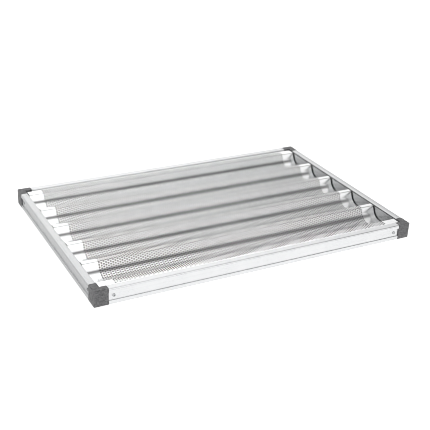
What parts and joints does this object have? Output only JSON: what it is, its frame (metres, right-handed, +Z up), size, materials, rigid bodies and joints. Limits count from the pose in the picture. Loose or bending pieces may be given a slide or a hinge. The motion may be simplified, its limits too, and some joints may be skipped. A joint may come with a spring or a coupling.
{
  "type": "baguette tray",
  "caption": "Flat rectangular baking tray with a perforated corrugated sheet of long troughs in an aluminium frame with plastic corner pieces.",
  "frame": {"origin": "middle of the footprint, on the surface that the tray stands on", "axes": "+X along the troughs (the 600 mm side), +Y across the troughs (the 400 mm side), +Z up, out of the troughs"},
  "size_m": [0.6, 0.4, 0.028],
  "materials": {
    "rail_aluminium": "extruded aluminium with fine lines along its length, lightly worn",
    "sheet_aluminium": "rolled aluminium sheet, semi-bright",
    "corner_plastic": "dark grey moulded plastic, fine grain",
    "rivet_aluminium": "plain aluminium blind rivet"
  },
  "bodies": {
    "root": {"front_rail": "rail_aluminium", "right_rail": "rail_aluminium", "back_rail": "rail_aluminium", "left_rail": "rail_aluminium", "corner_front_left": "corner_plastic", "corner_front_right": "corner_plastic", "corner_back_left": "corner_plastic", "corner_back_right": "corner_plastic", "baking_sheet": "sheet_aluminium", "rivet_front_left_front_rail": "rivet_aluminium", "rivet_front_left_left_rail": "rivet_aluminium", "rivet_front_right_front_rail": "rivet_aluminium", "rivet_front_right_right_rail": "rivet_aluminium", "rivet_back_left_back_rail": "rivet_aluminium", "rivet_back_left_left_rail": "rivet_aluminium", "rivet_back_right_back_rail": "rivet_aluminium", "rivet_back_right_right_rail": "rivet_aluminium"}
  },
  "joints": []
}
